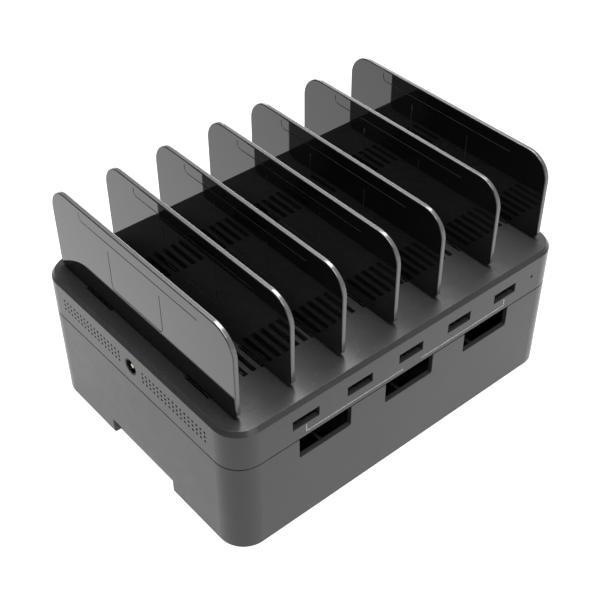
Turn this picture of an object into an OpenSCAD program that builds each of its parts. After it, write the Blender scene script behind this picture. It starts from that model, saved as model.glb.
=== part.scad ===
// Charging station organizer.
// A two-part case with five power sockets in front, a cable store in its lower
// half and seven loose upright dividers on top.
// Millimetres. Z is up, the front faces -Y, and the origin lies on the desk
// under the middle of the case.

/* [Case] */
// Width of the case, side to side
case_w = 180; // [176:0.5:200]
// Depth of the case, front to back
case_d = 132.4; // [128:0.2:150]
// Radius of the four upright corners
corner_r = 12; // [8:0.5:16]
// Thickness of the upright walls
wall = 2.2; // [1.8:0.1:2.6]
// Height of the lower case
lower_h = 46.8; // [40:0.2:60]
// Height of the upper housing
upper_h = 19.3; // [18.8:0.1:24]
// Height of the shadow line between the two halves
seam_gap = 0.5; // [0.2:0.1:1]
// Thickness of the upper housing's roof
roof_t = 2.4; // [2:0.1:2.8]
// Thickness of the lower case's floor
floor_t = 2.4; // [1.8:0.1:3.4]
// Width of the bevel round the top face
bevel_in = 1.5; // [0.5:0.1:2]
// Height of the bevel round the top face
bevel_h = 1.95; // [0.5:0.05:2.2]
// Size of the small bevel round the bottom edge
bottom_bevel = 0.8; // [0.3:0.1:1.5]

/* [Feet] */
// Diameter of a rubber foot
foot_d = 10; // [6:0.5:12]
// Distance that a foot stands out below the case
foot_proud = 0.8; // [0.5:0.1:2]
// Depth of the recess that holds a foot
foot_recess = 0.8; // [0.4:0.1:1.2]
// Distance from a foot's centre to the outside of the case
foot_inset = 14; // [13:0.5:25]

/* [Cable store] */
// Width of a cable cut-out
cutout_w = 26.8; // [16:0.2:34]
// Depth of a cable cut-out below the lower case's rim
cutout_h = 10.4; // [6:0.2:14]
// Radius of a cut-out's lower corners
cutout_r = 1; // [0.5:0.1:3]
// Distance between neighbouring cut-outs
cutout_pitch = 45.4; // [38:0.2:49]
// Thickness of the stiffening ribs behind the front wall
rib_t = 1.6; // [1:0.1:2.5]
// Length of the stiffening ribs
rib_l = 20; // [8:1:40]
// Height of the stiffening ribs above the floor
rib_h = 29; // [15:1:31]
// Distance between neighbouring ribs
rib_pitch = 43.2; // [38:0.2:48]
// Diameter of the posts that carry the upper housing
post_d = 8; // [7.5:0.1:10]
// Distance from a post's centre to the inside of the side walls
post_side = 19.3; // [16:0.1:20]
// Distance from a post's centre to the inside of the front and back walls
post_end = 3.5; // [2:0.1:3.6]
// Length of the finger scoops low on the two sides
scoop_l = 44; // [30:1:60]
// Height of a finger scoop
scoop_h = 8.2; // [5:0.2:12]
// Depth of a finger scoop at its lower edge
scoop_in = 3; // [1.5:0.1:4]

/* [Bottom plate] */
// Thickness of the plate that closes the upper housing
plate_t = 2; // [1.6:0.1:2.4]
// Gap between the bottom plate and the cover round it
plate_gap = 0.2; // [0.1:0.05:0.4]
// Distance that the locating skirt reaches down into the lower case
skirt_h = 3; // [2:0.5:5]
// Thickness of the locating skirt
skirt_t = 1.5; // [1:0.1:2]
// Length of one stretch of the locating skirt
skirt_l = 40; // [20:1:48]
// Distance from the middle to the two stretches at the back
skirt_mid = 12; // [5:1:13]
// Gap between the locating skirt and the lower case
skirt_gap = 0.3; // [0.2:0.05:0.6]

/* [Screws] */
// Diameter of the screw bosses under the roof
boss_d = 7; // [6:0.25:8]
// Distance from the corner bosses to the outside of the side walls
boss_side = 8.5; // [8.2:0.1:9]
// Distance from the bosses to the outside of the front and back walls
boss_end = 9.2; // [8.5:0.1:10]
// Distance from the middle to the two inner bosses at the back
boss_mid = 30; // [20:1:45]
// Diameter of a plate screw
screw_d = 2.5; // [2:0.1:3]
// Length of a plate screw's thread inside its boss
screw_grip = 7; // [5:0.5:9]
// Diameter of a plate screw's head
head_d = 5; // [4.4:0.1:6]
// Height of a plate screw's head
head_h = 1.8; // [1.2:0.1:2.4]
// Width of the arms of the cross in a screw's head
cross_w = 0.6; // [0.4:0.05:0.8]
// Length of the cross's arms, as a share of the head's diameter
cross_share = 0.64; // [0.5:0.02:0.8]
// Depth of the cross in a screw's head
cross_depth = 0.8; // [0.3:0.1:0.9]
// Diameter of a board screw
small_screw_d = 2; // [1.6:0.1:2.4]
// Length of a board screw's thread inside its standoff
small_screw_grip = 3; // [2:0.1:3.4]
// Diameter of a board screw's head
small_head_d = 4; // [3.4:0.1:4.6]
// Height of a board screw's head
small_head_h = 1.5; // [1:0.1:2]
// Diameter of the standoffs that carry the board
standoff_d = 5.5; // [4.5:0.25:6.5]
// Gap round a thread inside its pilot hole
thread_gap = 0.05; // [0.03:0.01:0.1]
// Gap round a screw inside a through hole
hole_gap = 0.2; // [0.1:0.05:0.4]
// Free depth beyond the tip of a screw
tip_gap = 0.4; // [0.2:0.1:0.6]

/* [Dividers] */
// Thickness of a divider plate
div_t = 2.25; // [1.8:0.05:2.4]
// Height of a divider above the top face
div_h = 41.4; // [36:0.5:60]
// Distance from the middle of the case to a divider's front edge
div_front = 58.6; // [54:0.2:62]
// Distance from the middle of the case to a divider's back edge
div_back = 61.2; // [54:0.2:62]
// Radius of a divider's upper corners
div_top_r = 11.4; // [8:0.2:15]
// Radius of a divider's lower corners
div_foot_r = 3.8; // [1.2:0.2:5]
// Radius of the rounding along a divider's rim
div_rim_r = 0.6; // [0.1:0.05:0.8]
// Clear width of the first bay
bay_1 = 23.5; // [22:0.1:25]
// Clear width of the second bay
bay_2 = 23; // [22:0.1:25]
// Clear width of the third bay
bay_3 = 25.4; // [23:0.1:26]
// Clear width of the fourth bay
bay_4 = 22; // [21:0.1:24]
// Clear width of the fifth bay
bay_5 = 29.3; // [26:0.1:30]
// Clear width of the sixth bay
bay_6 = 27.4; // [26:0.1:29]
// Distance of the divider row's middle to the right of the case's middle
row_shift = 1.1; // [-1.5:0.1:1.5]
// Depth to which a divider's tabs reach below the top face
tab_h = 5.2; // [4:0.1:5.6]
// Length of the rear tab
rear_tab_l = 18.6; // [10:0.2:22]
// Distance from the middle of the case to the middle of the rear tab
rear_tab_y = 31.9; // [28:0.1:36]
// Length of the front tab
front_tab_l = 14.8; // [8:0.2:20]
// Distance from the middle of the case to the middle of the front tab
front_tab_y = 34.7; // [30:0.1:38]
// Radius of the tabs' lower corners
tab_r = 1.5; // [0.5:0.1:2]
// Gap between a tab and its guide on each side
tab_gap = 0.15; // [0.1:0.05:0.3]
// Gap between a divider and the top face that it stands on
seat_gap = 0.05; // [0.02:0.01:0.1]
// Extra width of the visible slot on a divider's left
slot_lead = 0.7; // [0.2:0.05:0.9]
// Wall of the guides that hang below the roof
guide_t = 1; // [0.8:0.05:1.2]
// Depth of the guides below the roof
guide_h = 3; // [2:0.1:3.2]

/* [Divider lines] */
// Width of the lines engraved in a divider's left face
line_w = 0.4; // [0.3:0.05:0.8]
// Depth of the engraved lines
line_depth = 0.2; // [0.1:0.05:0.4]
// Radius of the engraved lines' corners
line_r = 2.2; // [1:0.1:4]
// Distance from a divider's top to the long hooked line
hook_drop = 5.9; // [4:0.1:8]
// Height of the hook at the long line's rear end
hook_h = 3.9; // [2.5:0.1:4]
// Distance from the middle of the case to the hook
hook_y = 39.5; // [30:0.5:44]
// Distance from the middle of the case to the long line's front end
hook_front = 38; // [25:0.5:42]
// Distance from a divider's top to the upper ends of the U
u_top = 10; // [9:0.1:14]
// Distance from a divider's top to the bottom of the U
u_bottom = 28.9; // [20:0.1:33]
// Distance from the middle of the case to the U's rear line
u_back = 20.3; // [10:0.1:25]
// Distance from the middle of the case to the U's front line
u_front = 14.2; // [8:0.1:20]

/* [Vents] */
// Width of a vent slot in the roof
vent_w = 2.25; // [1.5:0.05:2.3]
// Distance between neighbouring vent slots
vent_pitch = 4.3; // [4:0.1:5]
// Length of a vent slot
vent_l = 16.8; // [8:0.2:20]
// Distance from the middle of the case to the vent slots' outer ends
vent_end = 41.8; // [36:0.2:46]
// Gap between the vent slots and the guides of the dividers
vent_margin = 0.1; // [0.05:0.05:1]
// Width of a small vent hole in the side walls
hole_d = 1.25; // [0.8:0.05:1.5]
// Distance between neighbouring holes along the wall
hole_pitch = 2.53; // [2.2:0.01:2.7]
// Distance between the rows of holes
row_pitch = 2.28; // [2:0.02:2.6]
// Number of holes in one row of a group
hole_count = 17; // [5:1:17]
// Number of rows in a group
row_count = 3; // [1:1:3]
// Distance from the middle of the case to the first hole of a group
hole_start = 8.3; // [7:0.1:10]

/* [Sockets] */
// Distance between neighbouring power sockets
port_pitch = 27.7; // [22:0.1:29]
// Width of a socket's opening in the front wall
port_w = 13.3; // [12.9:0.1:14]
// Height of a socket's opening in the front wall
port_h = 4.9; // [4.7:0.1:5.4]
// Height of the sockets' middle above the upper housing's lower edge
port_z = 9; // [8.8:0.1:9.4]
// Outer width of a socket's metal shell
shell_w = 13.1; // [12.6:0.1:13.6]
// Outer height of a socket's metal shell
shell_h = 5.6; // [5.4:0.1:5.8]
// Length of a socket's metal shell
shell_l = 14; // [12:0.5:17]
// Thickness of the shell's sheet metal
shell_t = 0.35; // [0.25:0.05:0.5]
// Gap between a shell's mouth and the front wall
shell_gap = 0.1; // [0.05:0.05:0.4]
// Gap between the plastic insert and its shell
insert_gap = 0.05; // [0.02:0.01:0.1]
// Length of the plastic block at the back of a shell
insert_l = 4.5; // [3:0.5:6]
// Thickness of the plastic tongue
tongue_t = 1.8; // [1.4:0.1:2]
// Width of the plastic tongue
tongue_w = 11.1; // [10:0.1:11.6]
// Distance between the tongue and the shell's upper side
tongue_drop = 0.4; // [0.2:0.05:0.6]
// Distance from the shell's mouth back to the tongue's tip
tongue_back = 1; // [0.5:0.1:3]
// Width of a contact strip
contact_w = 1; // [0.6:0.1:1.2]
// Thickness of a contact strip
contact_t = 0.15; // [0.1:0.05:0.25]
// Distance from the socket's middle to the two outer contact strips
contact_outer = 3.5; // [2.8:0.1:4.5]
// Distance from the socket's middle to the two inner contact strips
contact_inner = 1; // [0.8:0.1:1.4]

/* [Inlet and lamp] */
// Diameter of the inlet's hole in the left wall
jack_d = 7.6; // [7.2:0.1:8.4]
// Diameter of the inlet's own bore
jack_bore = 6.3; // [5.8:0.1:6.6]
// Diameter of the inlet's centre pin
jack_pin_d = 2; // [1.6:0.1:2.6]
// Width of the inlet's body
jack_w = 9; // [8.6:0.1:10]
// Length of the inlet's body behind the wall
jack_l = 14; // [12:0.5:15]
// Thickness of the inlet's closed back
jack_back = 2; // [1:0.1:3]
// Gap round the inlet's nose and behind the wall
jack_gap = 0.1; // [0.05:0.05:0.3]
// Gap above and below the inlet's body
jack_space = 0.6; // [0.3:0.1:1]
// Width of the two lugs that stand on the board
lug_w = 1.5; // [1:0.1:1.8]
// Thickness of the lugs
lug_t = 0.6; // [0.4:0.1:1]
// Distance from the wall's outside back to the centre pin's tip
pin_back = 0.8; // [0.5:0.1:3]
// Width of the inlet's side spring
spring_w = 2.4; // [1.5:0.1:3]
// Length of the side spring
spring_l = 7; // [4:0.5:8]
// Thickness of the side spring
spring_t = 0.5; // [0.4:0.05:0.8]
// Depth of the recess that holds the side spring
spring_recess = 0.35; // [0.2:0.05:0.4]
// Diameter of the power lamp's hole
lamp_d = 1.5; // [1:0.1:2.4]
// Distance of the power lamp from the case's middle
lamp_x = 72.5; // [70:0.5:73]
// Gap between the light pipe and its hole
lamp_gap = 0.05; // [0.02:0.01:0.1]
// Distance from the front face back to the light pipe's tip
lamp_back = 0.3; // [0:0.1:1]
// Width of the lamp on the board
led_w = 3; // [2:0.1:4]
// Height of the lamp on the board
led_h = 3.8; // [3.6:0.1:5]
// Depth of the lamp on the board
led_l = 1.6; // [1:0.1:2]

/* [Circuit board] */
// Thickness of the circuit board
board_t = 1.6; // [1.2:0.1:2]
// Distance from the board's ends to the outside of the case
board_side = 14; // [13.5:0.1:15]
// Distance from the board's front edge to the inside of the front wall
board_end = 1.4; // [1.1:0.1:2]
// Depth of the circuit board, front to back
board_d = 76; // [75:0.5:84]
// Distance from the board's side edges to its screws
board_screw_side = 5; // [4.5:0.1:6]
// Distance from the board's front edge to the front screws
board_screw_front = 13; // [8:0.5:20]
// Distance from the board's back edge to the rear screws
board_screw_back = 5; // [4:0.1:5.5]
// Gap between the board and the inlet's body
notch_gap = 0.2; // [0.1:0.05:0.4]
// Free space between neighbouring rows of parts on the board
row_gap = 2.5; // [1.5:0.1:3]
// Distance from the board's left edge to the middle of the choke
choke_side = 16; // [14:0.5:18]
// Outer diameter of the input choke
choke_d = 15; // [10:0.5:17]
// Diameter of the input choke's hole
choke_bore = 7; // [4:0.5:8]
// Height of the input choke
choke_h = 6; // [4:0.5:7]
// Edge length of an inductor
inductor_w = 10; // [6:0.5:12]
// Radius of an inductor's upright corners
inductor_r = 1.6; // [0.5:0.1:2.5]
// Height of an inductor
inductor_h = 5; // [3:0.2:6]
// Distance from the board's left edge to the middle of the first capacitor
cap_side = 16; // [14:0.5:18]
// Diameter of a capacitor
cap_d = 8; // [5:0.5:9]
// Height of a capacitor
cap_h = 8.8; // [5:0.2:9.4]
// Distance between the middles of neighbouring capacitors
cap_pitch = 12; // [11:0.5:13]
// Edge length of a controller chip
chip_w = 7; // [4:0.5:9]
// Height of a controller chip
chip_h = 1.2; // [0.8:0.1:2]
// Distance of the first controller chip from the case's middle
chip_x = 20; // [15:1:30]
// Distance between the two controller chips' middles
chip_pitch = 14; // [11:0.5:18]
// Length of the heat sink
sink_l = 50; // [30:1:56]
// Width of the heat sink
sink_w = 16; // [10:0.5:18]
// Height of the heat sink
sink_h = 8; // [5:0.5:9]
// Distance from the last capacitor to the heat sink
sink_gap = 7; // [2:0.5:10]
// Thickness of the heat sink's base
sink_base = 2; // [1:0.1:3]
// Thickness of a fin
fin_t = 1.2; // [0.8:0.1:1.4]
// Number of fins
fin_count = 7; // [4:1:8]

/* [Hidden] */
$fn = 48;
fuse = 0.01;
cut = 1;
sides = [-1, 1];

// Heights, from the desk upwards.
low_z = foot_proud;
low_top = low_z + lower_h;
floor_z = low_z + floor_t;
up_z = low_top + seam_gap;
plate_top = up_z + plate_t;
top_z = up_z + upper_h;
roof_z = top_z - roof_t;
port_mid = up_z + port_z;
board_top = port_mid - shell_h/2;
board_z = board_top - board_t;

// Inside of the walls.
in_w = case_w - 2*wall;
in_d = case_d - 2*wall;
in_r = corner_r - wall;
front_in = -in_d/2;

// The ribs and cut-outs lie behind each other at the middle, left and right.
cutouts = [-1:1];
// A finger scoop is cut by a large cylinder that lies along the side wall.
scoop_rad = (pow(scoop_h, 2) + pow(scoop_in, 2))/(2*scoop_in);

// The dividers' left faces, and the vent slots that fit between two of them.
bays = [bay_1, bay_2, bay_3, bay_4, bay_5, bay_6];
div_count = len(bays) + 1;
function bay_sum(i) = i == 0 ? 0 : bays[i - 1] + bay_sum(i - 1);
row_w = bay_sum(len(bays)) + div_count*div_t;
function div_x(i) = row_shift - row_w/2 + bay_sum(i) + i*div_t;
guide_out = tab_gap + guide_t;
vent_clear = max(guide_out, tab_gap + slot_lead) + vent_margin;
function vents_in(b) = floor((bays[b] - 2*vent_clear - vent_w)/vent_pitch) + 1;

// Screws of the bottom plate.
boss_x = case_w/2 - boss_side;
boss_y = case_d/2 - boss_end;
bosses = [[-boss_x, -boss_y], [boss_x, -boss_y], [-boss_x, boss_y], [boss_x, boss_y],
          [-boss_mid, boss_y], [boss_mid, boss_y]];

// Circuit board, and the rows of parts on it from front to back.
ports = 5;
shell_y = front_in + shell_gap;
shell_in_w = shell_w - 2*shell_t;
shell_in_h = shell_h - 2*shell_t;
board_w = case_w - 2*board_side;
board_y = front_in + board_end;
inductor_y = shell_y + shell_l + row_gap;
choke_y = inductor_y + inductor_w + row_gap;
sink_y = choke_y + choke_d + row_gap;
caps = 3;
cap_x = -board_w/2 + cap_side;
sink_x = cap_x + (caps - 1)*cap_pitch + cap_d/2 + sink_gap;
board_hole_x = board_w/2 - board_screw_side;
board_holes = [for (sx = sides, y = [board_y + board_screw_front,
                                     board_y + board_d - board_screw_back]) [sx*board_hole_x, y]];

// Power inlet.
jack_x = -in_w/2 + jack_gap;
jack_z = port_mid;
jack_h = 2*(min(jack_z - plate_top, roof_z - jack_z) - jack_space);
jack_end = jack_x + jack_l;

// Rounded rectangle, centred.
module rounded(w, d, r) {
    square([w - 2*r, d], center = true);
    square([w, d - 2*r], center = true);
    for (sx = sides, sy = sides)
        translate([sx*(w/2 - r), sy*(d/2 - r)]) circle(r = r);
}

// Half of a section with a bevel at its outer upper corner.
module bevelled_half(l, h, inset, rise) {
    polygon([[0, 0], [l, 0], [l, h - rise], [l - inset, h], [0, h]]);
}

// Block with rounded upright corners and a flat bevel round its top edge.
module bevelled_block(w, d, h, r, inset, rise) {
    for (side = [[0, w/2, d], [90, d/2, w], [180, w/2, d], [270, d/2, w]])
        rotate([90, 0, side[0]]) linear_extrude(side[2] - 2*r, center = true)
            translate([-r, 0]) bevelled_half(side[1] + r, h, inset, rise);
    for (sx = sides, sy = sides)
        translate([sx*(w/2 - r), sy*(d/2 - r), 0])
            rotate_extrude() bevelled_half(r, h, inset, rise);
}

// Screw that points up, with its head's lower face at z = 0 and a cross in it.
module screw(d, l, dh, hh) {
    arm = cross_share*dh;
    difference() {
        cylinder(d = dh, h = hh);
        for (a = [0, 90]) rotate(a) translate([-arm/2, -cross_w/2, -cut])
            cube([arm, cross_w, cross_depth + cut]);
    }
    translate([0, 0, hh - fuse]) cylinder(d = d, h = l + fuse);
}

// Children at the four feet.
module at_feet() {
    for (sx = sides, sy = sides)
        translate([sx*(case_w/2 - foot_inset), sy*(case_d/2 - foot_inset), 0]) children();
}

// Outline of a cable cut-out, open upwards.
module cutout_outline() {
    translate([-cutout_w/2, cutout_r]) square([cutout_w, cutout_h - cutout_r + cut]);
    translate([cutout_r - cutout_w/2, 0]) square([cutout_w - 2*cutout_r, cutout_r + fuse]);
    for (s = sides) translate([s*(cutout_w/2 - cutout_r), cutout_r]) circle(r = cutout_r);
}

// Lower case: an open tray with posts for the housing, ribs behind the front
// wall, three cut-outs for cables and a scoop for the fingers on each side.
module lower_case() {
    backing_h = scoop_h + floor_t;
    color("#47484a") difference() {
        union() {
            difference() {
                translate([0, 0, low_top]) mirror([0, 0, 1])
                    bevelled_block(case_w, case_d, lower_h, corner_r, bottom_bevel, bottom_bevel);
                translate([0, 0, floor_z])
                    linear_extrude(lower_h) rounded(in_w, in_d, in_r);
            }
            for (sx = sides, sy = sides)
                translate([sx*(in_w/2 - post_side), sy*(in_d/2 - post_end), floor_z - fuse])
                    cylinder(d = post_d, h = up_z - floor_z + fuse);
            for (i = cutouts)
                translate([i*rib_pitch - rib_t/2, front_in - fuse, floor_z - fuse])
                    cube([rib_t, rib_l + fuse, rib_h + fuse]);
            for (s = sides)
                translate([s*(in_w/2 - scoop_in/2 + fuse/2), 0, low_z + floor_t/2 + backing_h/2])
                    cube([scoop_in + fuse, scoop_l + 2*wall, backing_h], center = true);
        }
        for (i = cutouts)
            translate([i*cutout_pitch, front_in + cut, low_top - cutout_h])
                rotate([90, 0, 0]) linear_extrude(wall + 2*cut) cutout_outline();
        for (s = sides)
            translate([s*(case_w/2 + scoop_rad - scoop_in), 0, low_z]) rotate([90, 0, 0])
                cylinder(r = scoop_rad, h = scoop_l, center = true);
        at_feet() translate([0, 0, low_z - cut]) cylinder(d = foot_d, h = foot_recess + cut);
    }
}

module rubber_feet() {
    color("#202020") at_feet() cylinder(d = foot_d, h = foot_proud + foot_recess);
}

// Small vent holes in both side walls, two groups beside the middle.
module side_holes() {
    for (sx = sides, sy = sides, i = [0:hole_count - 1], j = [0:row_count - 1])
        translate([sx*(case_w - wall)/2, sy*(hole_start + i*hole_pitch),
                   port_mid + (j - (row_count - 1)/2)*row_pitch])
            rotate([0, 90, 0]) rotate(180/8)
                cylinder(d = hole_d, h = wall + 2*cut, center = true, $fn = 8);
}

// Vent slots in the roof, a front and a back bank in every bay.
module roof_vents() {
    for (b = [0:len(bays) - 1], i = [0:vents_in(b) - 1], y = [-vent_end, vent_end - vent_l])
        translate([div_x(b) + div_t + vent_clear + i*vent_pitch, y, roof_z - cut])
            cube([vent_w, vent_l, roof_t + 2*cut]);
}

// Children once for each tab of every divider, with the tab's length in $tab_l.
module at_tabs() {
    for (i = [0:div_count - 1], tab = [[rear_tab_y, rear_tab_l], [-front_tab_y, front_tab_l]]) {
        $tab_l = tab[1];
        translate([div_x(i), tab[0], 0]) children();
    }
}

// Socket below the roof that guides a tab.
module tab_guide() {
    l = $tab_l + 2*guide_out;
    translate([-guide_out, -l/2, roof_z - guide_h])
        cube([div_t + 2*guide_out, l, guide_h + fuse]);
}

// Opening of a guide, and the wider slot in the roof above it.
module tab_cut() {
    l = $tab_l + 2*tab_gap;
    translate([-tab_gap, -l/2, roof_z - guide_h - cut])
        cube([div_t + 2*tab_gap, l, guide_h + roof_t + 2*cut]);
    translate([-tab_gap - slot_lead, -l/2, roof_z])
        cube([div_t + 2*tab_gap + slot_lead, l, roof_t + cut]);
}

// Cover of the upper housing: a moulded shell with the dividers' sockets, the
// screw bosses, two banks of roof vents, side vents and the socket openings.
module top_cover() {
    color("#4b4c4e") difference() {
        union() {
            difference() {
                translate([0, 0, up_z])
                    bevelled_block(case_w, case_d, upper_h, corner_r, bevel_in, bevel_h);
                translate([0, 0, up_z - cut])
                    linear_extrude(roof_z - up_z + cut) rounded(in_w, in_d, in_r);
            }
            at_tabs() tab_guide();
            for (p = bosses) translate([p[0], p[1], plate_top])
                cylinder(d = boss_d, h = roof_z - plate_top + fuse);
        }
        at_tabs() tab_cut();
        roof_vents();
        side_holes();
        for (i = [1:ports]) at_port(i) translate([0, -shell_gap - wall/2, 0])
            cube([port_w, wall + 2*shell_gap, port_h], center = true);
        translate([-case_w/2 - cut, 0, jack_z]) rotate([0, 90, 0])
            cylinder(d = jack_d, h = wall + 2*cut);
        translate([lamp_x, front_in + cut, port_mid]) rotate([90, 0, 0])
            cylinder(d = lamp_d, h = wall + 2*cut);
        for (p = bosses) translate([p[0], p[1], plate_top - cut])
            cylinder(d = screw_d + 2*thread_gap, h = screw_grip + tip_gap + cut);
    }
}

// Plate that closes the housing from below, with its skirt and standoffs.
module bottom_plate() {
    skirt_x = in_w/2 - skirt_gap - skirt_t/2;
    skirt_y = in_d/2 - skirt_gap - skirt_t/2;
    skirt_z = up_z - skirt_h/2;
    pilot_z = board_z - small_screw_grip - tip_gap;
    color("#3c3d3f") difference() {
        union() {
            translate([0, 0, up_z]) linear_extrude(plate_t)
                rounded(in_w - 2*plate_gap, in_d - 2*plate_gap, in_r - plate_gap);
            for (s = sides) {
                translate([s*skirt_x, 0, skirt_z])
                    cube([skirt_t, skirt_l, skirt_h + 2*fuse], center = true);
                translate([s*(skirt_mid + skirt_l/2), skirt_y, skirt_z])
                    cube([skirt_l, skirt_t, skirt_h + 2*fuse], center = true);
            }
            for (p = board_holes) translate([p[0], p[1], plate_top - fuse])
                cylinder(d = standoff_d, h = board_z - plate_top + fuse);
        }
        for (p = bosses) translate([p[0], p[1], up_z - cut])
            cylinder(d = screw_d + 2*hole_gap, h = plate_t + 2*cut);
        for (p = board_holes) translate([p[0], p[1], pilot_z])
            cylinder(d = small_screw_d + 2*thread_gap, h = board_z - pilot_z + cut);
    }
}

module plate_screws() {
    color("silver")
        for (p = bosses) translate([p[0], p[1], up_z - head_h])
            screw(screw_d, plate_t + screw_grip, head_d, head_h);
}

module circuit_board() {
    notch_w = jack_w + 2*notch_gap;
    color("darkgreen") difference() {
        translate([-board_w/2, board_y, board_z]) cube([board_w, board_d, board_t]);
        translate([-board_w/2 - cut, -notch_w/2, board_z - cut])
            cube([jack_end + notch_gap + board_w/2 + cut, notch_w, board_t + 2*cut]);
        for (p = board_holes) translate([p[0], p[1], board_z - cut])
            cylinder(d = small_screw_d + 2*hole_gap, h = board_t + 2*cut);
    }
}

module board_screws() {
    color("silver")
        for (p = board_holes) translate([p[0], p[1], board_top + small_head_h]) mirror([0, 0, 1])
            screw(small_screw_d, board_t + small_screw_grip, small_head_d, small_head_h);
}

// Children at the mouth of power socket i, in the middle of its shell.
module at_port(i) {
    translate([(i - (ports + 1)/2)*port_pitch, shell_y, port_mid]) children();
}

module usb_shell(i) {
    color("silver") at_port(i) difference() {
        translate([-shell_w/2, 0, -shell_h/2]) cube([shell_w, shell_l, shell_h]);
        translate([-shell_in_w/2, -cut, -shell_in_h/2])
            cube([shell_in_w, shell_l - shell_t + cut, shell_in_h]);
    }
}

// Plastic block at the back of a shell, with the tongue in its upper half.
module usb_insert(i) {
    block_w = shell_in_w - 2*insert_gap;
    block_h = shell_in_h - 2*insert_gap;
    block_y = shell_l - shell_t - insert_l;
    color("#1d1d1f") at_port(i) {
        translate([-block_w/2, block_y, -block_h/2]) cube([block_w, insert_l, block_h]);
        translate([-tongue_w/2, tongue_back, shell_in_h/2 - tongue_drop - tongue_t])
            cube([tongue_w, block_y - tongue_back + fuse, tongue_t]);
    }
}

// Four contact strips on the tongue's lower face.
module usb_contacts(i) {
    strip_l = shell_l - shell_t - insert_l - 2*tongue_back;
    color("gold") at_port(i)
        for (s = sides, x = [contact_outer, contact_inner])
            translate([s*x - contact_w/2, 2*tongue_back,
                       shell_in_h/2 - tongue_drop - tongue_t - contact_t])
                cube([contact_w, strip_l, contact_t]);
}

// Power inlet: a box with a round nose in the wall's hole and a blind bore.
module dc_jack_body() {
    color("#18181a") difference() {
        union() {
            translate([jack_x, -jack_w/2, jack_z - jack_h/2]) cube([jack_l, jack_w, jack_h]);
            translate([jack_x - wall, 0, jack_z]) rotate([0, 90, 0])
                cylinder(d = jack_d - 2*jack_gap, h = wall + fuse);
            translate([-board_w/2, -jack_w/2 - lug_w, board_top])
                cube([jack_end + board_w/2, jack_w + 2*lug_w, lug_t]);
        }
        translate([jack_x - wall - cut, 0, jack_z]) rotate([0, 90, 0])
            cylinder(d = jack_bore, h = wall + jack_l - jack_back + cut);
        spring_place() cube([spring_l, spring_w, jack_bore/2]);
    }
}

module dc_jack_pin() {
    pin_x = -case_w/2 + pin_back;
    color("silver") translate([pin_x, 0, jack_z]) rotate([0, 90, 0])
        cylinder(d = jack_pin_d, h = jack_end - jack_back - pin_x);
}

// Children at the corner of the recess below the inlet's bore.
module spring_place() {
    translate([jack_end - jack_back - spring_l, -spring_w/2, jack_z - jack_bore/2 - spring_recess])
        children();
}

module dc_jack_spring() {
    color("silver") spring_place() cube([spring_l, spring_w, spring_t]);
}

module power_led() {
    color("white") translate([lamp_x - led_w/2, board_y, board_top])
        cube([led_w, led_l, led_h]);
}

module light_pipe() {
    color("white") translate([lamp_x, board_y, port_mid]) rotate([90, 0, 0])
        cylinder(d = lamp_d - 2*lamp_gap, h = board_end + wall - lamp_back);
}

module inductor(i) {
    color("#333336")
        translate([(i - (ports + 1)/2)*port_pitch, inductor_y + inductor_w/2, board_top])
            linear_extrude(inductor_h) rounded(inductor_w, inductor_w, inductor_r);
}

module capacitor(i) {
    color("#26335a")
        translate([cap_x + (i - 1)*cap_pitch, sink_y + cap_d/2, board_top])
            cylinder(d = cap_d, h = cap_h);
}

module chip(i) {
    color("#151517") translate([chip_x + (i - 1)*chip_pitch, choke_y + chip_w/2, board_top])
        linear_extrude(chip_h) square([chip_w, chip_w], center = true);
}

module input_choke() {
    color("#5a5f2c") translate([-board_w/2 + choke_side, choke_y + choke_d/2, board_top])
        linear_extrude(choke_h) difference() {
            circle(d = choke_d);
            circle(d = choke_bore);
        }
}

module heat_sink() {
    fin_pitch = (sink_w - fin_t)/(fin_count - 1);
    color("gray") translate([sink_x, sink_y, board_top]) {
        cube([sink_l, sink_w, sink_base]);
        for (i = [0:fin_count - 1])
            translate([0, i*fin_pitch, sink_base - fuse])
                cube([sink_l, fin_t, sink_h - sink_base + fuse]);
    }
}

// Half of a section through a divider, l long, with its rim rounded at the end.
module rim_section(l) {
    flat = div_t/2 - div_rim_r;
    translate([0, -div_t/2]) square([l - div_rim_r, div_t]);
    translate([0, -flat]) square([l, 2*flat]);
    for (s = sides) translate([l - div_rim_r, s*flat]) circle(r = div_rim_r);
}

// Divider plate with a rounded rim, its thickness centred on x = 0.
module divider_plate() {
    middle = div_h/2;
    for (end = [[-1, div_front], [1, div_back]]) {
        translate([0, 0, div_foot_r]) rotate(end[0]*90)
            linear_extrude(div_h - div_foot_r - div_top_r) rim_section(end[1]);
        for (c = [[-1, div_foot_r, div_foot_r], [1, div_top_r, div_h - div_top_r]])
            translate([0, end[0]*(end[1] - c[1]), c[2]]) {
                mirror([0, (1 - end[0])/2, 0]) mirror([0, 0, (1 - c[0])/2]) rotate([0, 90, 0])
                    rotate(90) rotate_extrude(angle = 90) rim_section(c[1]);
                cube([div_t, c[1] - div_rim_r, c[1] - div_rim_r], center = true);
            }
    }
    for (edge = [[-1, div_foot_r, middle], [1, div_top_r, div_h - middle]])
        translate([0, edge[1] - div_front, middle]) mirror([0, 0, (1 - edge[0])/2])
            rotate([0, -90, -90]) linear_extrude(div_front + div_back - 2*edge[1])
                rim_section(edge[2]);
}

module tab_outline(y, l) {
    translate([y - l/2, tab_r - tab_h]) square([l, tab_h - tab_r + fuse]);
    translate([y - l/2 + tab_r, -tab_h]) square([l - 2*tab_r, tab_r + fuse]);
    for (s = sides) translate([y + s*(l/2 - tab_r), tab_r - tab_h]) circle(r = tab_r);
}

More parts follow.
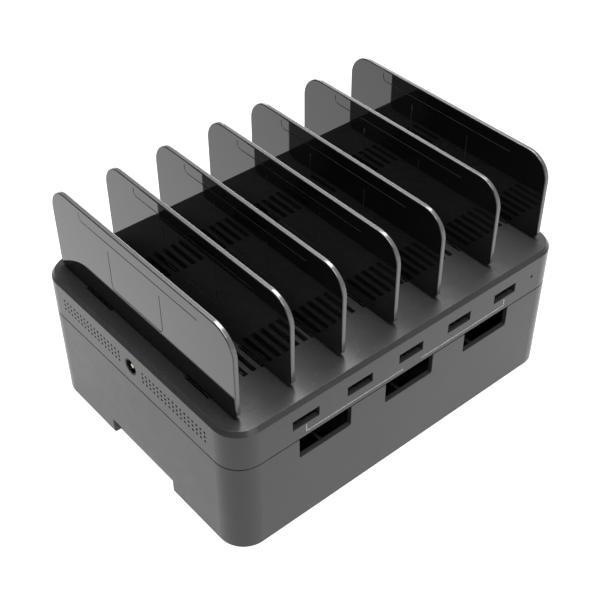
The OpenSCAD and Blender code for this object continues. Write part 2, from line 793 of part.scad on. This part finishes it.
// Thin line round a rounded rectangle, given its lower rear corner.
module frame_line(y, z, w, h) {
    translate([y - w/2, z + h/2]) difference() {
        rounded(w, h, line_r);
        rounded(w - 2*line_w, h - 2*line_w, line_r - line_w);
    }
}

// Engraved lines: a long line with a hook at its rear end, and a U below it.
module divider_lines() {
    hook_l = hook_y + hook_front;
    u_l = u_back + u_front;
    u_h = u_bottom - u_top;
    intersection() {
        frame_line(hook_y, div_h - hook_drop, 2*hook_l, 2*div_h);
        translate([-hook_front, div_h - hook_drop]) square([hook_l, hook_h]);
    }
    intersection() {
        frame_line(u_back, div_h - u_bottom, u_l, 2*u_h);
        translate([-u_front, div_h - u_bottom]) square([u_l, u_h]);
    }
}

module divider(i) {
    color("#0c0c0d") translate([div_x(i - 1), 0, top_z + seat_gap]) difference() {
        union() {
            translate([div_t/2, 0, 0]) divider_plate();
            rotate([90, 0, 90]) linear_extrude(div_t) {
                tab_outline(rear_tab_y, rear_tab_l);
                tab_outline(-front_tab_y, front_tab_l);
            }
        }
        translate([-cut, 0, 0]) rotate([90, 0, 90])
            linear_extrude(cut + line_depth) divider_lines();
    }
}

lower_case();
rubber_feet();
top_cover();
bottom_plate();
plate_screws();
circuit_board();
board_screws();
usb_shell(1);  // usb_shell_1
usb_shell(2);  // usb_shell_2
usb_shell(3);  // usb_shell_3
usb_shell(4);  // usb_shell_4
usb_shell(5);  // usb_shell_5
usb_insert(1);  // usb_insert_1
usb_insert(2);  // usb_insert_2
usb_insert(3);  // usb_insert_3
usb_insert(4);  // usb_insert_4
usb_insert(5);  // usb_insert_5
usb_contacts(1);  // usb_contacts_1
usb_contacts(2);  // usb_contacts_2
usb_contacts(3);  // usb_contacts_3
usb_contacts(4);  // usb_contacts_4
usb_contacts(5);  // usb_contacts_5
dc_jack_body();
dc_jack_pin();
dc_jack_spring();
power_led();
light_pipe();
inductor(1);  // inductor_1
inductor(2);  // inductor_2
inductor(3);  // inductor_3
inductor(4);  // inductor_4
inductor(5);  // inductor_5
capacitor(1);  // capacitor_1
capacitor(2);  // capacitor_2
capacitor(3);  // capacitor_3
chip(1);  // chip_1
chip(2);  // chip_2
input_choke();
heat_sink();
divider(1);  // divider_1
divider(2);  // divider_2
divider(3);  // divider_3
divider(4);  // divider_4
divider(5);  // divider_5
divider(6);  // divider_6
divider(7);  // divider_7
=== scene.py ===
"""Charging station organizer: materials, printed line, floor, light and camera."""
import math

import bmesh
import bpy
from mathutils import Matrix, Vector


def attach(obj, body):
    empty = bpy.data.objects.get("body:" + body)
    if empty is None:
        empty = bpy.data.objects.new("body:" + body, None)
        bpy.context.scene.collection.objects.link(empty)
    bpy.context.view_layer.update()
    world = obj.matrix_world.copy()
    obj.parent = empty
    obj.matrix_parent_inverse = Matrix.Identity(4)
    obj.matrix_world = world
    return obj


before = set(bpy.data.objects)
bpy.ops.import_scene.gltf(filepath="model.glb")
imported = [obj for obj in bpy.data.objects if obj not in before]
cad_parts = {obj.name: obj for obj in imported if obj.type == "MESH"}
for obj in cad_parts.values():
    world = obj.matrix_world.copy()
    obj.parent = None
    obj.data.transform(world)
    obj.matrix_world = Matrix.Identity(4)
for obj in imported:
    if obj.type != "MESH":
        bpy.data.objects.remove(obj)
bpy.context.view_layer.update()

# ---------------------------------------------------------------- node helpers


def shader(name):
    """New material with a principled shader; returns material, tree and shader."""
    mat = bpy.data.materials.new(name)
    mat.use_nodes = True
    tree = mat.node_tree
    return mat, tree, tree.nodes["Principled BSDF"]


def node(tree, kind, **props):
    """Add a node: in_Name sets its socket Name, any other key sets a property."""
    n = tree.nodes.new(kind)
    for key, value in props.items():
        if key.startswith("in_"):
            n.inputs[key[3:].replace("_", " ")].default_value = value
        else:
            setattr(n, key, value)
    return n


def link(tree, a, b):
    tree.links.new(a, b)


def feed(tree, socket, value):
    """Link a socket to another socket, or set it to a number or a colour."""
    if isinstance(value, bpy.types.NodeSocket):
        link(tree, value, socket)
    else:
        socket.default_value = value


def math_node(tree, op, *terms):
    """Math node; the terms are sockets or numbers."""
    n = node(tree, "ShaderNodeMath", operation=op)
    for socket, term in zip(n.inputs, terms):
        feed(tree, socket, term)
    return n.outputs[0]


def coords(tree):
    """Object coordinates in metres."""
    return tree.nodes.new("ShaderNodeTexCoord").outputs["Object"]


def noise(tree, where, scale, detail=2.0, rough=0.5):
    n = node(tree, "ShaderNodeTexNoise", in_Scale=scale, in_Detail=detail, in_Roughness=rough)
    link(tree, where, n.inputs["Vector"])
    return n.outputs["Fac"]


def remap(tree, value, lo, hi, out_lo=0.0, out_hi=1.0):
    """Straight change of range from lo..hi to out_lo..out_hi, held at its ends."""
    n = tree.nodes.new("ShaderNodeMapRange")
    for key, term in (("Value", value), ("From Min", lo), ("From Max", hi),
                      ("To Min", out_lo), ("To Max", out_hi)):
        feed(tree, n.inputs[key], term)
    return n.outputs["Result"]


def mix_color(tree, fac, a, b):
    n = node(tree, "ShaderNodeMix", data_type="RGBA")
    for key, term in (("Factor", fac), ("A", a), ("B", b)):
        feed(tree, n.inputs[key], term)
    return n.outputs["Result"]


def bump(tree, height, strength, distance, base=None):
    n = node(tree, "ShaderNodeBump", in_Strength=strength, in_Distance=distance)
    link(tree, height, n.inputs["Height"])
    if base is not None:
        link(tree, base, n.inputs["Normal"])
    return n.outputs["Normal"]


def soft_edges(tree, radius):
    return node(tree, "ShaderNodeBevel", samples=6, in_Radius=radius).outputs["Normal"]


def grey(v):
    return (v, v, v, 1.0)


def dimmed(color, share):
    return tuple(share*c for c in color[:3]) + (1.0,)


# ------------------------------------------------------------------- materials
# Edge radii and bump distances are in metres, noise scales in cycles per metre.

FINE_EDGE = 0.0001


def moulded(name, color, rough, grain=0.35, edge=0.0004, spec=0.5):
    """Satin moulded plastic: fine spark-eroded grain, faint clouding of tone and sheen."""
    mat, tree, sh = shader(name)
    where = coords(tree)
    cloud = noise(tree, where, scale=28.0, detail=3.0)
    fine = noise(tree, where, scale=2600.0)
    tone = remap(tree, cloud, 0.3, 0.7, 0.94, 1.06)
    tinted = node(tree, "ShaderNodeVectorMath", operation="SCALE")
    tinted.inputs[0].default_value = color[:3]
    link(tree, tone, tinted.inputs["Scale"])
    link(tree, tinted.outputs[0], sh.inputs["Base Color"])
    spot = noise(tree, where, scale=160.0)
    link(tree, remap(tree, spot, 0.3, 0.7, rough*0.93, rough*1.07), sh.inputs["Roughness"])
    normal = bump(tree, fine, grain, distance=0.00002, base=soft_edges(tree, edge))
    link(tree, normal, sh.inputs["Normal"])
    sh.inputs["Specular IOR Level"].default_value = spec
    return mat


def gloss(name, color, rough, rim_sheen_color, rim_rough, spec):
    """Polished dark plastic with a slightly wavy face and a duller, satin rim whose lighter grey
    is a painted sheen.

    The plates' faces look along X, so a normal that leaves X marks the rim.
    """
    mat, tree, sh = shader(name)
    where = coords(tree)
    split = tree.nodes.new("ShaderNodeSeparateXYZ")
    link(tree, tree.nodes.new("ShaderNodeNewGeometry").outputs["Normal"], split.inputs[0])
    side = math_node(tree, "ABSOLUTE", split.outputs["X"])
    rim = remap(tree, side, 0.35, 0.75, 1.0, 0.0)
    scuff = noise(tree, where, scale=700.0, detail=3.0, rough=0.6)
    # The rim's lighter grey is a painted sheen; the scuff noise adds real wear to it.
    rim_sheen_and_scuff = mix_color(tree, scuff, dimmed(rim_sheen_color, 0.8), rim_sheen_color)
    link(tree, mix_color(tree, rim, color, rim_sheen_and_scuff), sh.inputs["Base Color"])
    haze = noise(tree, where, scale=45.0, detail=4.0, rough=0.6)
    face_rough = remap(tree, haze, 0.45, 0.75, rough, rough*2.2)
    link(tree, remap(tree, rim, 0.0, 1.0, face_rough, rim_rough), sh.inputs["Roughness"])
    wave = noise(tree, where, scale=9.0, detail=1.0)
    normal = bump(tree, wave, 0.25, distance=0.0004, base=soft_edges(tree, FINE_EDGE))
    link(tree, normal, sh.inputs["Normal"])
    sh.inputs["Specular IOR Level"].default_value = spec
    return mat


def metal(name, color, rough, stretch=(1.0, 1.0, 1.0)):
    """Worked metal with stains and with drawn or rolled streaks."""
    mat, tree, sh = shader(name)
    where = coords(tree)
    mapping = node(tree, "ShaderNodeMapping", in_Scale=stretch)
    link(tree, where, mapping.inputs["Vector"])
    streak = noise(tree, mapping.outputs["Vector"], scale=900.0, detail=3.0)
    stain = noise(tree, where, scale=120.0)
    link(tree, mix_color(tree, remap(tree, stain, 0.35, 0.65), dimmed(color, 0.72), color),
         sh.inputs["Base Color"])
    sh.inputs["Metallic"].default_value = 1.0
    link(tree, remap(tree, streak, 0.3, 0.7, rough*0.7, rough*1.4), sh.inputs["Roughness"])
    normal = bump(tree, streak, 0.25, distance=0.00002, base=soft_edges(tree, FINE_EDGE))
    link(tree, normal, sh.inputs["Normal"])
    return mat


def rubber(name):
    """Matt rubber with fine grain and patches of dust."""
    mat, tree, sh = shader(name)
    where = coords(tree)
    fine = noise(tree, where, scale=1800.0, detail=3.0)
    dust = noise(tree, where, scale=220.0, detail=3.0)
    link(tree, mix_color(tree, remap(tree, dust, 0.5, 0.8, 0.0, 0.6), grey(0.018), grey(0.05)),
         sh.inputs["Base Color"])
    sh.inputs["Roughness"].default_value = 0.85
    normal = bump(tree, fine, 0.6, distance=0.00004, base=soft_edges(tree, 0.0003))
    link(tree, normal, sh.inputs["Normal"])
    return mat


def circuit(name):
    """Green solder mask with faint darker tracks and tinned pads."""
    mat, tree, sh = shader(name)
    where = coords(tree)
    bricks = node(tree, "ShaderNodeTexBrick", offset=0.35, squash=0.6, in_Scale=130.0,
                  in_Color1=(0.006, 0.022, 0.013, 1), in_Color2=(0.007, 0.026, 0.015, 1),
                  in_Mortar=(0.003, 0.012, 0.007, 1), in_Mortar_Size=0.02)
    link(tree, where, bricks.inputs["Vector"])
    dots = node(tree, "ShaderNodeTexVoronoi", in_Scale=210.0)
    link(tree, where, dots.inputs["Vector"])
    pad = math_node(tree, "LESS_THAN", dots.outputs["Distance"], 0.16)
    color = mix_color(tree, pad, bricks.outputs["Color"], (0.3, 0.3, 0.29, 1.0))
    link(tree, color, sh.inputs["Base Color"])
    link(tree, pad, sh.inputs["Metallic"])
    sh.inputs["Roughness"].default_value = 0.32
    link(tree, bump(tree, bricks.outputs["Fac"], 0.3, distance=0.00003), sh.inputs["Normal"])
    return mat


def clear_lamp(name):
    """Clear moulded plastic, a little cloudy."""
    mat, tree, sh = shader(name)
    cloud = noise(tree, coords(tree), scale=600.0)
    link(tree, mix_color(tree, cloud, (0.5, 0.51, 0.52, 1), (0.66, 0.67, 0.68, 1)),
         sh.inputs["Base Color"])
    link(tree, remap(tree, cloud, 0.3, 0.7, 0.1, 0.2), sh.inputs["Roughness"])
    sh.inputs["Transmission Weight"].default_value = 0.96
    return mat


def sleeve(name):
    """Dark blue shrunk sleeve, faintly mottled."""
    mat, tree, sh = shader(name)
    fine = noise(tree, coords(tree), scale=700.0)
    link(tree, mix_color(tree, remap(tree, fine, 0.3, 0.7), (0.014, 0.022, 0.075, 1),
                         (0.022, 0.034, 0.11, 1)), sh.inputs["Base Color"])
    sh.inputs["Roughness"].default_value = 0.25
    link(tree, bump(tree, fine, 0.1, distance=0.00002), sh.inputs["Normal"])
    return mat


def winding(name):
    """Enamelled wire: close, nearly parallel ridges."""
    mat, tree, sh = shader(name)
    where = coords(tree)
    wave = node(tree, "ShaderNodeTexWave", in_Scale=320.0, in_Distortion=1.5)
    link(tree, where, wave.inputs["Vector"])
    # The wire's colours are held near black, a painted shade for the dark inside of the housing
    # seen through the vents.
    link(tree, mix_color(tree, wave.outputs["Fac"], (0.012, 0.009, 0.007, 1),
                         (0.05, 0.035, 0.022, 1)), sh.inputs["Base Color"])
    sh.inputs["Roughness"].default_value = 0.3
    sh.inputs["Metallic"].default_value = 0.2
    link(tree, bump(tree, wave.outputs["Fac"], 0.7, distance=0.0002), sh.inputs["Normal"])
    return mat


def sintered(name, low, high, rough):
    """Grainy dark surface whose grey runs from low to high."""
    mat, tree, sh = shader(name)
    fine = noise(tree, coords(tree), scale=1500.0, detail=4.0, rough=0.7)
    link(tree, mix_color(tree, fine, grey(low), grey(high)), sh.inputs["Base Color"])
    sh.inputs["Roughness"].default_value = rough
    normal = bump(tree, fine, 0.4, distance=0.00003, base=soft_edges(tree, 0.0002))
    link(tree, normal, sh.inputs["Normal"])
    return mat


def ink(name):
    """Printed ink, grey from wear."""
    mat, tree, sh = shader(name)
    wear = noise(tree, coords(tree), scale=900.0, detail=3.0)
    link(tree, mix_color(tree, remap(tree, wear, 0.35, 0.6), grey(0.28), grey(0.4)),
         sh.inputs["Base Color"])
    sh.inputs["Roughness"].default_value = 0.45
    return mat


CASE = grey(0.027)
cover_plastic = moulded("cover_plastic", CASE, rough=0.27, edge=0.0002, spec=0.34)
case_plastic = moulded("case_plastic", CASE, rough=0.30, spec=0.34)
plate_plastic = moulded("plate_plastic", grey(0.045), rough=0.42)
# The rim grey is a painted sheen on the plates' rounded edges.
divider_gloss = gloss("divider_gloss", grey(0.006), rough=0.025, rim_sheen_color=grey(0.075),
                      rim_rough=0.22, spec=0.72)
foot_rubber = rubber("foot_rubber")
screw_steel = metal("screw_steel", grey(0.5), rough=0.3)
# The socket steel is darker than bare steel: a painted shade for the insides of the ports and the
# inlet.
socket_steel = metal("socket_steel", (0.3, 0.29, 0.27, 1), rough=0.3, stretch=(1.0, 0.08, 1.0))
gold = metal("gold", (0.85, 0.6, 0.24, 1), rough=0.25, stretch=(1.0, 0.1, 1.0))
tongue_black = moulded("tongue_black", grey(0.012), rough=0.4, grain=0.3, edge=FINE_EDGE)
inlet_black = moulded("inlet_black", grey(0.006), rough=0.5, grain=0.3, edge=FINE_EDGE,
                      spec=0.25)
pin_steel = metal("pin_steel", (0.5, 0.44, 0.32, 1), rough=0.25)
board_green = circuit("board_green")
lamp_clear = clear_lamp("lamp_clear")
ferrite = sintered("ferrite", low=0.02, high=0.06, rough=0.6)
epoxy = sintered("epoxy", low=0.006, high=0.016, rough=0.5)
cap_sleeve = sleeve("cap_sleeve")
shade_darkened_choke_wire = winding("shade_darkened_choke_wire")
sink_metal = metal("sink_metal", grey(0.6), rough=0.35, stretch=(0.05, 1.0, 1.0))
white_ink = ink("white_ink")

LOOKS = {
    "lower_case": case_plastic, "top_cover": cover_plastic, "bottom_plate": plate_plastic,
    "rubber_feet": foot_rubber, "plate_screws": screw_steel, "board_screws": screw_steel,
    "circuit_board": board_green, "dc_jack_body": inlet_black, "dc_jack_pin": pin_steel,
    "dc_jack_spring": socket_steel, "power_led": lamp_clear, "light_pipe": lamp_clear,
    "input_choke": shade_darkened_choke_wire, "heat_sink": sink_metal, "usb_shell": socket_steel,
    "usb_insert": tongue_black, "usb_contacts": gold, "inductor": ferrite,
    "capacitor": cap_sleeve, "chip": epoxy, "divider": divider_gloss,
}
for name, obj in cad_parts.items():
    look = LOOKS.get(name) or LOOKS[name.rsplit("_", 1)[0]]
    obj.data.materials.clear()
    obj.data.materials.append(look)

# ---------------------------------------------------------------- printed line


def add_object(name, data):
    obj = bpy.data.objects.new(name, data)
    bpy.context.scene.collection.objects.link(obj)
    return obj


# The line starts just in front of the wall, so that no two faces coincide.
FRONT_WALL = -0.0662
INK_BACK = FRONT_WALL - 0.000002
INK_FRONT = FRONT_WALL - 0.000012
LINE = 0.00035
INK_LOW, INK_TOP = 0.05005, 0.0538
SIDE, BREAK_LEFT, BREAK_RIGHT = 0.0554, -0.0040, 0.0063


def bracket(build, outer, tip):
    """Closed L-shaped strip: an upright at outer, with a foot along the bottom to tip."""
    inner = outer + math.copysign(LINE, tip - outer)
    outline = [(outer, INK_TOP), (outer, INK_LOW), (tip, INK_LOW), (tip, INK_LOW + LINE),
               (inner, INK_LOW + LINE), (inner, INK_TOP)]
    front = [build.verts.new((x, INK_FRONT, z)) for x, z in outline]
    rear = [build.verts.new((x, INK_BACK, z)) for x, z in outline]
    build.faces.new(front)
    build.faces.new(list(reversed(rear)))
    for k in range(len(outline)):
        n = (k + 1) % len(outline)
        build.faces.new((front[k], rear[k], rear[n], front[n]))


ink_mesh = bmesh.new()
bracket(ink_mesh, -SIDE, BREAK_LEFT)
bracket(ink_mesh, SIDE + LINE, BREAK_RIGHT)
bmesh.ops.recalc_face_normals(ink_mesh, faces=ink_mesh.faces)
mesh = bpy.data.meshes.new("front_print")
ink_mesh.to_mesh(mesh)
ink_mesh.free()
front_print = add_object("front_print", mesh)
mesh.materials.append(white_ink)
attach(front_print, "housing")

# ------------------------------------------------------------- floor and light

FLOOR_R = 8.0
WALL_H = FLOOR_R/3
WALL_SIDES = 96
PAPER_GLOW = 1.2
WALL_TOP_GLOW = 0.05
WALL_FADE = 7.0


def paper(name):
    """Paper that glows, so that it stays white beside the dark object."""
    mat, tree, sh = shader(name)
    sh.inputs["Base Color"].default_value = grey(0.1)
    sh.inputs["Roughness"].default_value = 0.9
    sh.inputs["Specular IOR Level"].default_value = 0.0
    sh.inputs["Emission Color"].default_value = grey(1.0)
    return mat, tree, sh


def plain_object(name, verts, faces, mat):
    mesh = bpy.data.meshes.new(name)
    mesh.from_pydata(verts, [], faces)
    mesh.materials.append(mat)
    return add_object(name, mesh)


floor_mat, tree, sh = paper("paper")
sh.inputs["Emission Strength"].default_value = PAPER_GLOW

wall_mat, tree, sh = paper("paper_wall")
split = tree.nodes.new("ShaderNodeSeparateXYZ")
link(tree, coords(tree), split.inputs[0])
fade = remap(tree, split.outputs["Z"], 0.0, WALL_H, 1.0, 0.0)
glow = remap(tree, math_node(tree, "POWER", fade, WALL_FADE), 0.0, 1.0, WALL_TOP_GLOW, PAPER_GLOW)
link(tree, glow, sh.inputs["Emission Strength"])

turns = [2*math.pi*k/WALL_SIDES for k in range(WALL_SIDES)]
circle = [(FLOOR_R*math.cos(a), FLOOR_R*math.sin(a)) for a in turns]
floor = plain_object("floor", [(x, y, 0) for x, y in circle], [list(range(WALL_SIDES))],
                     floor_mat)
panels = [(k, (k + 1) % WALL_SIDES, (k + 1) % WALL_SIDES + WALL_SIDES, k + WALL_SIDES)
          for k in range(WALL_SIDES)]
backdrop = plain_object("backdrop", [(x, y, z) for z in (0, WALL_H) for x, y in circle],
                        panels, wall_mat)

world = bpy.data.worlds.new("studio")
bpy.context.scene.world = world
world.use_nodes = True
background = world.node_tree.nodes["Background"]
background.inputs["Color"].default_value = grey(1.0)
background.inputs["Strength"].default_value = 0.01

LAMP_SIZE = 0.62
LAMP_REACH = 1.3
LAMP_TARGET = Vector((0, 0, 0.06))


def dome(name, azimuth, elevation, power):
    """Soft box on a dome, aimed at the object; azimuth runs from the back to the right."""
    a, e = math.radians(azimuth), math.radians(elevation)
    where = LAMP_REACH*Vector((math.sin(a)*math.cos(e), math.cos(a)*math.cos(e), math.sin(e)))
    data = bpy.data.lights.new(name, "AREA")
    data.energy = power
    data.shape = "RECTANGLE"
    data.size = data.size_y = LAMP_SIZE
    obj = add_object(name, data)
    obj.location = where
    obj.rotation_euler = (LAMP_TARGET - where).to_track_quat("-Z", "Y").to_euler()


dome("front_high", 180, 66, power=13.0)
dome("right_back_high", 60, 66, power=23.0)
dome("top", 0, 90, power=8.5)
dome("back_high", 0, 66, power=4.7)
dome("front_low", 180, 18, power=3.0)
dome("right_back_low", 45, 18, power=5.6)

# ---------------------------------------------------------------------- camera
# Solved from the edges of the case: azimuth from the front, elevation and roll.

CAMERA_AT = (-0.247307, -0.289611, 0.373305)
CAMERA_AZ, CAMERA_EL, CAMERA_ROLL = -40.239, 41.104, -0.240
CAMERA_LENS = 68.5
CAMERA_SENSOR = 36.0

az, el, roll = (math.radians(v) for v in (CAMERA_AZ, CAMERA_EL, CAMERA_ROLL))
back = Vector((math.sin(az)*math.cos(el), -math.cos(az)*math.cos(el), math.sin(el)))
right0 = Vector((math.cos(az), math.sin(az), 0))
up0 = back.cross(right0)
right = math.cos(roll)*right0 + math.sin(roll)*up0
up = -math.sin(roll)*right0 + math.cos(roll)*up0
cam_data = bpy.data.cameras.new("camera")
cam_data.sensor_width = CAMERA_SENSOR
cam_data.lens = CAMERA_LENS
cam_data.clip_start = 0.01
cam = add_object("camera", cam_data)
turned = Matrix((right, up, back)).transposed().to_4x4()
cam.matrix_world = Matrix.Translation(CAMERA_AT) @ turned
bpy.context.scene.camera = cam

bpy.context.scene.view_settings.view_transform = "Standard"
